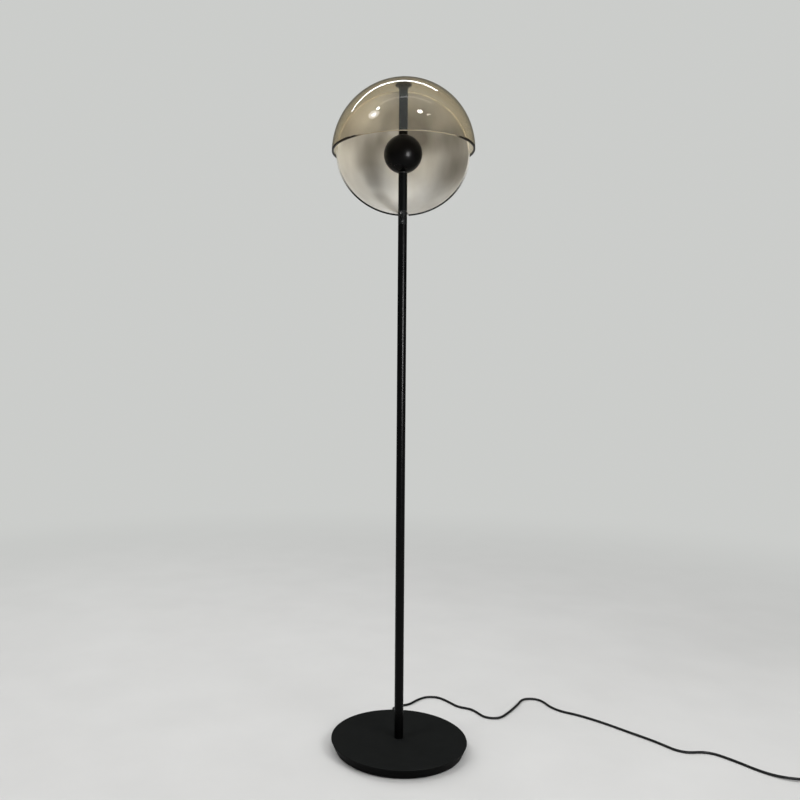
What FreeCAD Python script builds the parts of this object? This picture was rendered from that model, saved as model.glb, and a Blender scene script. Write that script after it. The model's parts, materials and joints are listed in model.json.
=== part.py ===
import FreeCAD, Part
import math
import os

V = FreeCAD.Vector
UP = V(0, 0, 1)
ORIGIN = V(0, 0, 0)

# Globe floor lamp. Millimetres, +Z up, origin on the floor at the centre of the base.
# +Y points to the back, where the rear glass hangs and where the cord leaves the base.

# ---------------------------------------------------------------- driving dimensions
lamp_height = 1506.0            # floor to the top of the dome's cap nut

# weighted base
base_height = 24.0
base_top_radius = 152.5
base_undercut = 10.0            # the bottom's radius is this much under the top's
base_edge_round = 1.5
cover_wall = 2.0
cover_floor_gap = 2.5           # the cover's lower edge stays off the floor
pad_thickness = 3.0
pad_edge_margin = 4.0           # pad radius is this much under the weight's radius
weight_side_gap = 2.2           # between the weight and the cover's lower edge
recess_radius = 34.0
recess_roof_thickness = 4.5     # iron left between the recess and the cover
recess_rim_margin = 2.0

# pole
pole_radius = 10.0
pole_wall = 1.5
pole_edge_chamfer = 0.4
lower_joint_height = 541.0
collar_height = 32.0
collar_above_glass = 1.5        # collar's middle above the lowest point of the rear glass
coupler_reach = 25.0            # how far an inner coupler goes into each tube
bush_height = 24.0              # threaded bushes at the ends of the pole and the stem
flute_count = 6
flute_radius = 2.2
flute_depth = 0.75
flute_length = 24.0
flute_twist = 56.0              # degrees that a flute turns over its length
flute_start = -100.0            # degrees from +X to the lower end of the first flute

# hollow threaded rods, nuts and the wiring
rod_radius = 5.0                # M10 threaded rod
rod_bore_radius = 3.4
rod_grip = 22.0                 # length screwed into a bush
nut_across_flats = 17.0
nut_height = 4.0
rod_below_nut = 0.5             # rod left free under the foot nut
foot_washer_radius = 11.0
foot_washer_thickness = 1.2
lead_radius = 1.6
lead_bend = 9.0                 # bend at the foot of the lead
lead_top_bend = 3.2             # bend at the slot in the spindle
lead_reach = 1.6                # lead past the spindle's outside

# globe: amber dome, rear glass and the ball just under their common centre
dome_outer_radius = 160.0
dome_wall = 4.0
nest_gap = 5.5                  # between the dome's inside and the rim of the rear glass
rear_cap_angle = 67.0           # degrees from the middle of the rear glass to its rim
rear_glass_wall = 4.0
rear_glass_tilt = 9.5           # degrees that the rear glass leans back
support_rise = 12.0             # degrees that the rear support rod rises to the back
notch_clearance = 1.6           # between the pole and the notch in the rear glass
ball_drop = 4.3                 # the ball's centre below the globe's centre
ball_radius = 43.0
ball_wall = 3.0

# clamps that hold each glass between a flange and a cap nut
flange_radius = 18.5
flange_height = 10.0
flange_lip = 1.6
flange_neck_wall = 0.6          # wall of the dome flange's neck round the stem
rear_flange_radius = 14.0
rear_flange_height = 12.0
rear_neck_wall = 2.0
rear_rod_depth = 4.0            # length of the support rod inside the rear flange
rear_stud_gap = 2.0             # between the rod's end and the stud in the rear flange
seal_thickness = 2.5
seal_margin = 1.0
outer_washer_thickness = 2.0
outer_washer_margin = 1.0       # the washer is this much smaller than the nut
cap_nut_radius = 13.0
cap_nut_height = 6.0
cap_nut_edge = 2.6              # height of the nut's upright side
cap_nut_slope = 0.6             # drop of the nut's top from its flat to its edge
cap_nut_flat_margin = 4.0       # from the crown's edge to the flat of the nut's top
cap_nut_roof = 1.5              # metal over the stud's end
clamp_stud_radius = 3.0
clamp_stud_grip = 15.0
glass_hole_clearance = 1.0

# swivel bearing
land_drop = 1.4                 # depth of the flat turned on the ball's top and bottom
slip_washer_thickness = 1.0
spring_washer_thickness = 0.8
washer_inset = 0.1              # the washers' edge inside the pole's edge
bush_wall = 2.0
bush_length = 8.0
bush_inset = 2.0                # bush end inside the hub's face
ball_bore_clearance = 0.6
stop_pin_radius = 1.5
stop_circle_radius = 10.0
stop_pin_drop = 34.0            # stop pin below the ball's centre
stop_lug_overlap = 1.8          # lug end below the stop pin's axis
stop_lug_depth = 5.0            # lug length inside the hub
wire_slot_width = 4.0
wire_slot_top = 23.0            # slot for the wires, below the ball's centre
wire_slot_bottom = 31.0

# lamp unit in the ball, measured from the ball's centre along the rear axis
hub_radius = 20.5
hub_front = 13.0
seat_front = 8.0
seat_thickness = 4.0
seat_clearance = 0.5
hub_flange_thickness = 4.0
ball_opening = 26.0
opening_clearance = 0.45
hub_screw_count = 4
hub_screw_radius = 1.5
hub_screw_head_radius = 2.5
hub_screw_head_height = 1.8
hub_screw_key = 2.0             # across the flats of the recess in a screw's head
hub_screw_key_depth = 1.2
hub_screw_circle = 24.6
hub_screw_inset = 0.5           # screw's end inside the seat's front face
driver_radius = 19.0
driver_height = 12.0
thermal_pad_thickness = 0.5
led_board_thickness = 1.6
led_board_radius = 21.5
led_board_hole_radius = 7.0
led_count = 12
led_size = 3.0
led_height = 0.8
led_circle_radius = 15.0
reflector_wall = 1.0
diffuser_front = 22.0
diffuser_thickness = 2.5
diffuser_hole_clearance = 0.5
lens_ring_thickness = 1.5
lens_ring_width = 2.6

# rear support rod
support_rod_radius = 5.0
support_rod_socket = 6.0        # rod length inside the hub

# mains lead in the base
cord_radius = 2.75
cord_port_height = 7.7
channel_clearance = 0.35
gland_flange_radius = 5.0
gland_flange_thickness = 2.0
gland_barrel_radius = 4.2
gland_tail_radius = 3.5
gland_shoulder_step = 0.8       # the tail starts this much inside the flange's edge
gland_shoulder_height = 1.2
gland_seat_overlap = 1.0        # flange's start inside the cover's side, cut to the cover
gland_weight_gap = 0.6          # between the barrel's inner end and the weight
gland_end = 177.2               # end of the tail, from the pole's axis
clamp_bar_width = 8.0
clamp_bar_length = 26.0
clamp_bar_thickness = 1.8
clamp_bar_position = 46.0
clamp_screw_radius = 1.5
clamp_screw_spacing = 16.0
clamp_screw_length = 7.0
clamp_pocket_gap = 0.5          # round the bar, in the pocket of the weight
terminal_length = 22.0
terminal_depth = 12.0
terminal_height = 12.0
terminal_position = 17.0
terminal_well_radius = 2.0
terminal_well_depth = 3.0
terminal_well_spacing = 7.0

# foot switch on the cord
switch_length = 86.0
switch_width = 42.0
switch_height = 22.0
switch_split_height = 8.0
switch_wall = 2.0
switch_edge_round = 3.0
switch_center = (895.0, -142.0)
switch_port_height = 6.0
button_radius = 13.8
button_gap = 0.4
button_flange_width = 1.6
button_flange_height = 2.4
button_flange_gap = 0.3
button_proud = 4.5
button_crown = 1.2
button_travel = 3.0
contact_length = 30.0
contact_width = 20.0
contact_height = 4.0
switch_spring_radius = 7.0
switch_spring_wire = 0.5
switch_spring_turns = 5
switch_screw_radius = 1.5
switch_screw_spacing = 62.0
switch_screw_length = 13.0
switch_screw_head = 1.4
switch_post_radius = 3.4
switch_post_gap = 0.4           # between a post and the cord
button_skirt = 2.0              # button below its flange
button_crown_margin = 3.0
spring_end_gap = 0.05           # between the spring's ends and the faces that it presses

# plug with two round pins
plug_length = 36.0
plug_thickness = 14.0
plug_face_width = 35.3
plug_neck_width = 13.0
plug_edge_round = 2.5
plug_neck_part = 0.35           # part of the plug's length that the neck takes
plug_face_part = 0.75           # where the plug reaches its full width
plug_neck_flare = 1.5
plug_pin_radius = 2.0
plug_pin_length = 19.0
plug_pin_spacing = 18.2

# cord put away as a coil in two layers, between the foot switch and the plug
coil_outer_radius = 38.0        # centre line of the outermost turn
coil_turn_pitch = 6.3
coil_layer_pitch = 6.6
coil_turns_in_layer = 2.5
coil_lead_in = 42.0
coil_lead_out = 45.0

bend_share = 0.45               # part of the shorter run that each bend of the route may take

# small clearances
fit_gap = 0.1                   # pressed, glued or screwed cylinder in a bore
running_gap = 0.1               # bush on the spindle
joint_gap = 0.2                 # hairline between two stacked pole sections

# Cord on the floor, from the strain relief to the foot switch: the points of its route.
cord_route = [
    (0.0, 177.2, 7.7), (0.0, 195.0, 7.7), (7.0, 213.0, 4.2), (22.0, 225.0, 2.75),
    (47.0, 236.0, 2.75), (66.0, 262.0, 2.75), (93.0, 284.0, 2.75), (124.0, 281.0, 2.75),
    (147.0, 251.0, 2.75), (166.0, 220.0, 2.75), (196.0, 209.0, 2.75), (209.5, 186.0, 2.75),
    (219.3, 163.6, 2.75), (239.5, 153.5, 2.75), (262.0, 158.3, 2.75), (286.0, 187.5, 2.75),
    (318.5, 234.0, 2.75), (336.0, 267.0, 2.75), (353.7, 276.2, 2.75), (373.3, 274.2, 2.75),
    (388.6, 261.4, 2.75), (399.0, 225.0, 2.75), (418.5, 198.0, 2.75), (456.0, 177.0, 2.75),
    (504.0, 133.0, 2.75), (549.0, 81.0, 2.75), (593.0, 33.0, 2.75), (628.0, -21.0, 2.75),
    (688.0, -12.0, 2.75), (724.0, -49.0, 2.75), (768.0, -113.0, 2.75), (814.0, -142.0, 6.0),
    (852.0, -142.0, 6.0),
]

# ---------------------------------------------------------------- derived sizes
globe_height = lamp_height - cap_nut_height - outer_washer_thickness - dome_outer_radius
ball_height = globe_height - ball_drop
GLOBE = V(0, 0, globe_height)
BALL = V(0, 0, ball_height)
pole_bore = pole_radius - pole_wall
dome_inner_radius = dome_outer_radius - dome_wall
rear_rim_radius = dome_inner_radius - nest_gap
rear_outer_radius = rear_rim_radius / math.sin(math.radians(rear_cap_angle))
rear_inner_radius = rear_outer_radius - rear_glass_wall
rear_setback = rear_rim_radius / math.tan(math.radians(rear_cap_angle))
rear_lean = math.radians(rear_glass_tilt)
CURVATURE = GLOBE + V(0, -rear_setback * math.cos(rear_lean), rear_setback * math.sin(rear_lean))
ball_inner_radius = ball_radius - ball_wall
land_radius = math.sqrt(ball_radius ** 2 - (ball_radius - land_drop) ** 2)
land_height = ball_radius - land_drop
pole_top = ball_height - land_height - slip_washer_thickness - spring_washer_thickness
stem_bottom = ball_height + land_height + slip_washer_thickness
stem_top = globe_height + dome_inner_radius - seal_thickness - flange_lip
collar_middle = globe_height - rear_rim_radius * math.cos(rear_lean) + collar_above_glass
collar_bottom = collar_middle - collar_height / 2
collar_top = collar_middle + collar_height / 2
base_bottom_radius = base_top_radius - base_undercut
cover_slope = base_undercut / (base_height - cover_floor_gap)
cover_side_wall = cover_wall * math.sqrt(1 + cover_slope ** 2)
weight_radius = base_bottom_radius - cover_side_wall - weight_side_gap
weight_top = base_height - cover_wall
recess_roof = weight_top - recess_roof_thickness
foot_rod_bottom = recess_roof - foot_washer_thickness - nut_height - rod_below_nut
seat_bore = hub_radius + seat_clearance
seat_rear = seat_front + seat_thickness
opening_radius = math.sqrt(ball_inner_radius ** 2 - ball_opening ** 2)
hub_flange_radius = opening_radius - opening_clearance
flange_face = seat_rear + hub_flange_thickness
bush_outer_radius = rod_radius + running_gap + bush_wall
glass_hole_radius = clamp_stud_radius + glass_hole_clearance


# ---------------------------------------------------------------- helpers
def cylinder(radius, bottom, top):
    return Part.makeCylinder(radius, top - bottom, V(0, 0, bottom))


def tube(outer, inner, bottom, top):
    return cylinder(outer, bottom, top).cut(cylinder(inner, bottom - 1, top + 1))


def turned(outline):
    """Solid of revolution about Z from (radius, height) points of a closed outline."""
    points = [V(r, 0, z) for r, z in outline]
    face = Part.Face(Part.makePolygon(points + [points[0]]))
    return face.revolve(ORIGIN, UP, 360)


def lift(shape, height):
    return shape.translated(V(0, 0, height))


def block(size_x, size_y, low, high, middle=(0.0, 0.0)):
    corner = V(middle[0] - size_x / 2, middle[1] - size_y / 2, low)
    return Part.makeBox(size_x, size_y, high - low, corner)


def hexagon(across_flats, bottom, top):
    reach = across_flats / math.sqrt(3)
    ring = [V(reach * math.cos(math.radians(60 * k)), reach * math.sin(math.radians(60 * k)), bottom)
            for k in range(7)]
    return Part.Face(Part.makePolygon(ring)).extrude(V(0, 0, top - bottom))


def around(shape, count, start=0.0):
    """Copies of a shape spread evenly round Z."""
    copies = []
    for k in range(count):
        copy = shape.copy()
        copy.rotate(ORIGIN, UP, start + 360.0 * k / count)
        copies.append(copy)
    return copies


def merge(first, *others):
    return first.fuse(list(others)).removeSplitter()


def aim_back(shape, start, rise):
    """Place a shape made along +Z so that it runs from a start point to the back."""
    placed = shape.copy()
    placed.rotate(ORIGIN, V(1, 0, 0), rise - 90)
    placed.translate(start)
    return placed


def rear_axis(shape):
    return aim_back(shape, BALL, support_rise)


def shell_above(outer, inner, low):
    """Part of a hollow sphere above a height."""
    shell = Part.makeSphere(outer).cut(Part.makeSphere(inner))
    return shell.common(Part.makeBox(4 * outer, 4 * outer, 2 * outer, V(-2 * outer, -2 * outer, low)))


def arc_between(start, corner, end):
    """Arc that leaves start towards corner and reaches end: both legs are equally long."""
    leg = (corner - start).Length
    middle = (start + end) * 0.5
    depth = (corner - middle).Length
    radius = leg * (middle - start).Length / depth
    toward = (middle - corner).normalize()
    crown = corner + toward * (math.hypot(leg, radius) - radius)
    return Part.Arc(start, crown, end).toShape(), radius


def rounded_path(points):
    """Straight runs joined by tangent arcs, each as large as its two runs allow."""
    nodes = [V(*p) for p in points]
    edges = []
    radii = []
    last = nodes[0]
    for before, here, after in zip(nodes, nodes[1:], nodes[2:]):
        run_in = here - before
        run_out = after - here
        turn = run_in.getAngle(run_out)
        setback = bend_share * min(run_in.Length, run_out.Length)
        radii.append(setback / math.tan(turn / 2))
        start = here - V(run_in).normalize() * setback
        end = here + V(run_out).normalize() * setback
        edges.append(Part.LineSegment(last, start).toShape())
        edges.append(arc_between(start, here, end)[0])
        last = end
    edges.append(Part.LineSegment(last, nodes[-1]).toShape())
    return edges, radii


def biarc(start, start_way, end, end_way):
    """Two tangent arcs from one point and direction to another."""
    chord = end - start
    both = start_way + end_way
    spread = 2 * (1 - start_way.dot(end_way))
    along = chord.dot(both)
    if spread < 1e-6:
        reach = chord.dot(chord) / (2 * along)
    else:
        reach = (-along + math.sqrt(along ** 2 + spread * chord.dot(chord))) / spread
    first = start + start_way * reach
    second = end - end_way * reach
    joint = (first + second) * 0.5
    return [arc_between(start, first, joint)[0], arc_between(joint, second, end)[0]]


def swept_wire(edges, radius, bore=0.0):
    """Round section swept along a path, and its length."""
    path = Part.Wire(edges)
    first = edges[0]
    way = first.tangentAt(first.FirstParameter)
    start = first.valueAt(first.FirstParameter)
    section = Part.Wire(Part.makeCircle(radius, start, way))
    solid = path.makePipeShell([section], True, False)
    if bore > 0:
        hole = Part.Wire(Part.makeCircle(bore, start, way))
        solid = solid.cut(path.makePipeShell([hole], True, False))
    return solid, path.Length


def report_sweep(name, solid, length, radius):
    expected = math.pi * radius ** 2 * length
    print("%s: length %.1f, volume %.0f against section x length %.0f"
          % (name, length, solid.Volume, expected))


def save(name, *solids):
    shape = solids[0] if len(solids) == 1 else Part.makeCompound(list(solids))
    shape.exportStep("parts/%s.step" % name)


# ---------------------------------------------------------------- base
def cover_radius_at(height):
    """Outer radius of the base cover's undercut side."""
    return base_bottom_radius + cover_slope * (height - cover_floor_gap)


def base_envelope():
    body = turned([(0, cover_floor_gap), (base_bottom_radius, cover_floor_gap),
                   (base_top_radius, base_height), (0, base_height)])
    rim = [e for e in body.Edges
           if e.BoundBox.ZMin > base_height - 0.01 and e.BoundBox.XMax > base_top_radius - 0.01]
    return body.makeFillet(base_edge_round, rim[:1])


def make_base():
    envelope = base_envelope()
    roof = base_height - cover_wall
    hollow = turned([(0, 0), (cover_radius_at(0) - cover_side_wall, 0),
                     (cover_radius_at(roof) - cover_side_wall, roof), (0, roof)])
    port = Part.makeCylinder(gland_barrel_radius + fit_gap, 2 * base_top_radius,
                             V(0, 0, cord_port_height), V(0, 1, 0))
    cover = envelope.cut(hollow).cut(cylinder(rod_radius + fit_gap, 0, base_height + 1)).cut(port)
    save("base_cover", cover)

    channel_half = cord_radius + channel_clearance
    channel_roof = cord_port_height + channel_half
    channel = Part.makeBox(2 * channel_half, 2 * weight_radius, channel_roof, V(-channel_half, 0, 0))
    clamp_top = cord_port_height - cord_radius
    pocket = block(clamp_bar_length + 2 * clamp_pocket_gap, clamp_bar_width + 2 * clamp_pocket_gap,
                   0, clamp_top, (0, clamp_bar_position))
    screw_hole = cylinder(clamp_screw_radius, 0, clamp_top + clamp_screw_length)
    weight = cylinder(weight_radius, pad_thickness, weight_top)
    weight = weight.cut(cylinder(recess_radius, 0, recess_roof))
    weight = weight.cut(cylinder(rod_radius + fit_gap, 0, base_height))
    weight = weight.cut(channel).cut(pocket)
    for side in (-1, 1):
        weight = weight.cut(screw_hole.translated(V(side * clamp_screw_spacing / 2, clamp_bar_position, 0)))
    save("base_weight", weight)
    save("floor_pad", tube(weight_radius - pad_edge_margin, recess_radius + recess_rim_margin,
                           0, pad_thickness))

    save("base_rod", tube(rod_radius, rod_bore_radius, foot_rod_bottom, base_height + rod_grip))
    save("base_washer", tube(foot_washer_radius, rod_radius + fit_gap,
                             recess_roof - foot_washer_thickness, recess_roof))
    nut_top = recess_roof - foot_washer_thickness
    save("base_nut", hexagon(nut_across_flats, nut_top - nut_height, nut_top)
         .cut(cylinder(rod_radius + fit_gap, 0, base_height)))

    bar_low = clamp_top - clamp_bar_thickness
    bar = block(clamp_bar_length, clamp_bar_width, bar_low, clamp_top, (0, clamp_bar_position))
    screws = []
    for side in (-1, 1):
        at = V(side * clamp_screw_spacing / 2, clamp_bar_position, 0)
        bar = bar.cut(cylinder(clamp_screw_radius + fit_gap, 0, clamp_top + 1).translated(at))
        screws.append(cylinder(clamp_screw_radius, bar_low - 0.1, clamp_top + clamp_screw_length - 1)
                      .translated(at))
    save("cord_clamp", bar)
    save("cord_clamp_screws", *screws)

    middle = terminal_position + terminal_depth / 2
    terminal_low = recess_roof - terminal_height
    terminal = block(terminal_length, terminal_depth, terminal_low, recess_roof, (0, middle))
    well = cylinder(terminal_well_radius, 0, terminal_low + terminal_well_depth)
    for k in (-1, 0, 1):
        terminal = terminal.cut(well.translated(V(k * terminal_well_spacing, middle, 0)))
    save("terminal_block", terminal)
    make_gland(envelope)


def make_gland(envelope):
    """Strain relief: a flange against the cover, a barrel through it and a tapered tail."""
    inside = weight_radius + gland_weight_gap
    seat = cover_radius_at(cord_port_height - gland_flange_radius) - gland_seat_overlap
    face = cover_radius_at(cord_port_height + gland_flange_radius) + gland_flange_thickness
    outer = turned([(0, seat), (gland_flange_radius, seat), (gland_flange_radius, face),
                    (gland_flange_radius - gland_shoulder_step, face + gland_shoulder_height),
                    (gland_tail_radius, gland_end), (0, gland_end)])
    barrel = cylinder(gland_barrel_radius, inside, face)

    def lay(shape):
        placed = shape.copy()
        placed.rotate(ORIGIN, V(1, 0, 0), -90)
        placed.translate(V(0, 0, cord_port_height))
        return placed

    body = merge(lay(outer).cut(envelope), lay(barrel))
    save("cord_gland", body.cut(lay(cylinder(cord_radius + fit_gap, 0, 2 * gland_end))))
    lead = cylinder(cord_radius, terminal_position + terminal_depth, gland_end)
    save("mains_lead", lay(lead))


# ---------------------------------------------------------------- pole
def pole_section(bottom, top):
    section = tube(pole_radius, pole_bore, bottom, top)
    rims = [e for e in section.Edges
            if e.BoundBox.ZLength < 0.01 and e.BoundBox.XMax > pole_radius - 0.01]
    return section.makeChamfer(pole_edge_chamfer, rims)


def fluted_collar():
    """Sleeve of the pole's size with slanting flutes, which hides the upper joint."""
    sleeve = pole_section(collar_bottom + joint_gap, collar_top - joint_gap)
    start = collar_middle - flute_length / 2
    path_radius = pole_radius + flute_radius - flute_depth
    lead = flute_length * 360.0 / flute_twist
    helix = Part.makeHelix(lead, flute_length, path_radius)
    way = helix.Edges[0].tangentAt(helix.Edges[0].FirstParameter)
    section = Part.Wire(Part.makeCircle(flute_radius, V(path_radius, 0, 0), way))
    groove = Part.Wire(helix.Edges).makePipeShell([section], True, True)
    ends = [Part.makeSphere(flute_radius, helix.Edges[0].valueAt(p))
            for p in (helix.Edges[0].FirstParameter, helix.Edges[0].LastParameter)]
    flute = lift(groove.fuse(ends), start)
    for copy in around(flute, flute_count, flute_start):
        sleeve = sleeve.cut(copy)
    return sleeve


def coupler(bottom, top):
    return tube(pole_bore - fit_gap, rod_bore_radius, bottom - coupler_reach, top + coupler_reach)


def make_pole():
    save("pole_lower", pole_section(base_height, lower_joint_height - joint_gap / 2))
    save("pole_middle", pole_section(lower_joint_height + joint_gap / 2, collar_bottom))
    save("pole_upper", pole_section(collar_top, pole_top))
    save("joint_collar", fluted_collar())
    save("lower_coupler", coupler(lower_joint_height, lower_joint_height))
    save("upper_coupler", coupler(collar_bottom, collar_top))
    bush = tube(pole_bore - fit_gap, rod_radius + fit_gap, 0, bush_height)
    save("threaded_bushes", lift(bush, base_height), lift(bush, pole_top - bush_height),
         lift(bush, stem_bottom))
    save("pole_lead", make_lead())


def make_lead():
    """Thin lead from the terminal block up the pole, out through the spindle's slot."""
    low = cord_port_height
    slot_middle = ball_height - (wire_slot_top + wire_slot_bottom) / 2
    start = V(0, terminal_position, low)
    foot = V(0, lead_bend, low)
    rise = V(0, 0, low + lead_bend)
    turn = V(0, 0, slot_middle - lead_top_bend)
    out = V(0, -lead_top_bend, slot_middle)
    end = V(0, -(rod_radius + lead_reach), slot_middle)
    edges = [Part.LineSegment(start, foot).toShape(),
             arc_between(foot, V(0, 0, low), rise)[0],
             Part.LineSegment(rise, turn).toShape(),
             arc_between(turn, V(0, 0, slot_middle), out)[0],
             Part.LineSegment(out, end).toShape()]
    lead, length = swept_wire(edges, lead_radius)
    report_sweep("pole_lead", lead, length, lead_radius)
    return lead


# ---------------------------------------------------------------- swivel
def make_swivel():
    """Spindle, washers and bushes on which the ball turns, and its end stop."""
    spindle = tube(rod_radius, rod_bore_radius, pole_top - rod_grip, stem_bottom + rod_grip)
    slot_low = ball_height - wire_slot_bottom
    slot_high = ball_height - wire_slot_top
    slot = Part.makeBox(wire_slot_width, 2 * rod_radius, slot_high - slot_low,
                        V(-wire_slot_width / 2, -2 * rod_radius, slot_low))
    pin_height = ball_height - stop_pin_drop
    pin_end = stop_circle_radius + stop_pin_radius
    pin = Part.makeCylinder(stop_pin_radius, pin_end - rod_bore_radius,
                            V(0, -rod_bore_radius, pin_height), V(0, -1, 0))
    save("spindle", spindle.cut(slot).cut(pin))
    save("stop_pin", pin)
    edge = pole_radius - washer_inset
    bore = rod_radius + 2 * fit_gap
    land = ball_height - land_height
    slip_washer = tube(edge, bore, 0, slip_washer_thickness)
    save("slip_washers", lift(slip_washer, land - slip_washer_thickness),
         lift(slip_washer, stem_bottom - slip_washer_thickness))
    save("spring_washer", tube(edge, bore, pole_top, pole_top + spring_washer_thickness))
    outer = hub_radius - bush_inset
    bush = tube(bush_outer_radius, rod_radius + running_gap, outer - bush_length, outer)
    low_bush = bush.mirror(ORIGIN, UP)
    save("swivel_bushes", lift(bush, ball_height), lift(low_bush, ball_height))


# ---------------------------------------------------------------- ball and lamp unit
def vertical_bore(radius):
    """Vertical cylinder through the ball's centre, for cutting placed shapes."""
    return cylinder(radius, ball_height - 2 * ball_radius, ball_height + 2 * ball_radius)


def make_ball():
    shell = Part.makeSphere(ball_radius).cut(Part.makeSphere(ball_inner_radius))
    seat = cylinder(ball_radius - ball_wall / 2, seat_front, seat_rear)
    seat = seat.common(Part.makeSphere(ball_radius - ball_wall / 2))
    shell = shell.fuse(seat).cut(cylinder(seat_bore, seat_front - 1, seat_rear + 1))
    shell = shell.cut(cylinder(2 * ball_radius, ball_opening, 2 * ball_radius))
    screw_hole = cylinder(hub_screw_radius, seat_front - 1, seat_rear + 1)
    for hole in around(screw_hole.translated(V(hub_screw_circle, 0, 0)), hub_screw_count, 45.0):
        shell = shell.cut(hole)
    placed = rear_axis(shell)
    for side in (-1, 1):
        land = cylinder(2 * land_radius, land_height, 2 * ball_radius)
        if side < 0:
            land = land.mirror(ORIGIN, UP)
        placed = placed.cut(lift(land, ball_height))
    placed = placed.cut(vertical_bore(rod_radius + ball_bore_clearance))
    save("ball_shell", placed)


def make_lamp_unit():
    lug = stop_lug()
    hub = merge(cylinder(hub_radius, -hub_front, seat_rear),
                cylinder(hub_flange_radius, seat_rear, flange_face))
    socket = cylinder(support_rod_radius + fit_gap, flange_face - support_rod_socket, flange_face + 1)
    hub = hub.cut(socket)
    screw_hole = cylinder(hub_screw_radius, seat_rear - 1, flange_face + 1)
    for hole in around(screw_hole.translated(V(hub_screw_circle, 0, 0)), hub_screw_count, 45.0):
        hub = hub.cut(hole)
    hub = rear_axis(hub).cut(vertical_bore(bush_outer_radius)).cut(lug)
    save("hub", hub)
    save("stop_lug", lug)

    screw = merge(cylinder(hub_screw_radius, seat_front + hub_screw_inset, flange_face),
                  cylinder(hub_screw_head_radius, flange_face, flange_face + hub_screw_head_height))
    head_top = flange_face + hub_screw_head_height
    recess = hexagon(hub_screw_key, head_top - hub_screw_key_depth, head_top + 1)
    screw = screw.cut(recess).translated(V(hub_screw_circle, 0, 0))
    save("hub_screws", *[rear_axis(s) for s in around(screw, hub_screw_count, 45.0)])

    driver = cylinder(driver_radius, -hub_front - driver_height, -hub_front)
    save("driver", rear_axis(driver))

    pad_rear = flange_face + thermal_pad_thickness
    board_rear = pad_rear + led_board_thickness
    hole = led_board_hole_radius
    save("thermal_pad", rear_axis(tube(led_board_radius, hole, flange_face, pad_rear)))
    save("led_board", rear_axis(tube(led_board_radius, hole, pad_rear, board_rear)))
    chip = block(led_size, led_size, board_rear, board_rear + led_height, (led_circle_radius, 0))
    save("led_chips", *[rear_axis(c) for c in around(chip, led_count)])

    ring = tube(hub_flange_radius, hub_flange_radius - reflector_wall, flange_face, diffuser_front)
    save("reflector_ring", rear_axis(ring))
    diffuser_rear = diffuser_front + diffuser_thickness
    disc = tube(hub_flange_radius, support_rod_radius + diffuser_hole_clearance,
                diffuser_front, diffuser_rear)
    save("diffuser", rear_axis(disc))
    ring_edge = math.sqrt(ball_radius ** 2 - ball_opening ** 2)
    ring_top = ball_opening + lens_ring_thickness
    ring_top_edge = math.sqrt(ball_radius ** 2 - ring_top ** 2)
    ring_bore = hub_flange_radius - lens_ring_width
    lens_ring = turned([(ring_bore, diffuser_rear), (hub_flange_radius, diffuser_rear),
                        (hub_flange_radius, ball_opening), (ring_edge, ball_opening),
                        (ring_top_edge, ring_top), (ring_bore, ring_top)])
    save("lens_ring", rear_axis(lens_ring))


def stop_lug():
    """Vertical pin under the hub that meets the stop pin at each end of the swivel."""
    top = ball_height - hub_radius + stop_lug_depth
    bottom = ball_height - stop_pin_drop - stop_lug_overlap
    return cylinder(stop_pin_radius, bottom, top).translated(V(0, stop_circle_radius, 0))


# ---------------------------------------------------------------- glass clamps
def trumpet(bore, neck, edge, low, face):
    """Flange that flares from a neck to its face, seen on the stem under the dome."""
    lip = face - flange_lip
    reach = edge - neck
    outline = [(bore, low), (neck, low)]
    steps = 8
    for k in range(1, steps + 1):
        angle = math.radians(90.0 * k / steps)
        outline.append((neck + reach * (1 - math.cos(angle)), low + (lip - low) * math.sin(angle)))
    outline += [(edge, face), (bore, face)]
    return turned(outline)


def make_clamp(name, inner_radius, outer_radius, edge, stud_start, place):
    """Seal, outer washer, cap nut and stud that clamp a glass, from its centre of curvature."""
    face = inner_radius - seal_thickness
    seal = tube(edge - seal_margin, glass_hole_radius, face, inner_radius)
    save(name + "_seal", place(seal.common(Part.makeSphere(inner_radius - fit_gap))))
    washer_top = outer_radius + outer_washer_thickness
    washer = tube(cap_nut_radius - outer_washer_margin, clamp_stud_radius + fit_gap,
                  outer_radius - 1, washer_top)
    save(name + "_washer", place(washer.cut(Part.makeSphere(outer_radius + fit_gap))))
    nut_top = washer_top + cap_nut_height
    crown_edge = cap_nut_radius - cap_nut_edge
    stud_end = nut_top - cap_nut_roof
    nut = turned([(0, washer_top), (cap_nut_radius, washer_top),
                  (cap_nut_radius, washer_top + cap_nut_edge),
                  (crown_edge, nut_top - cap_nut_slope),
                  (crown_edge - cap_nut_flat_margin, nut_top), (0, nut_top)])
    save(name + "_cap_nut", place(nut.cut(cylinder(clamp_stud_radius, washer_top - 1, stud_end))))
    save(name + "_stud", place(cylinder(clamp_stud_radius, stud_start, stud_end)))


def make_dome():
    def place(shape):
        return lift(shape, globe_height)

    dome = shell_above(dome_outer_radius, dome_inner_radius, 0)
    dome = dome.cut(cylinder(glass_hole_radius, 0, 2 * dome_outer_radius))
    save("amber_dome", place(dome))
    face = dome_inner_radius - seal_thickness
    roof = tube(pole_radius, clamp_stud_radius + fit_gap, face - flange_lip, face)
    flare = trumpet(pole_radius, pole_radius + flange_neck_wall, flange_radius, face - flange_height, face)
    save("dome_flange", place(merge(flare, roof)))
    stud_start = face - flange_lip - clamp_stud_grip
    make_clamp("dome", dome_inner_radius, dome_outer_radius, flange_radius, stud_start, place)
    save("upper_stem", tube(pole_radius, pole_bore, stem_bottom, stem_top))
    save("stem_top_bush", tube(pole_bore - fit_gap, clamp_stud_radius,
                               stem_top - clamp_stud_grip, stem_top))


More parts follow.
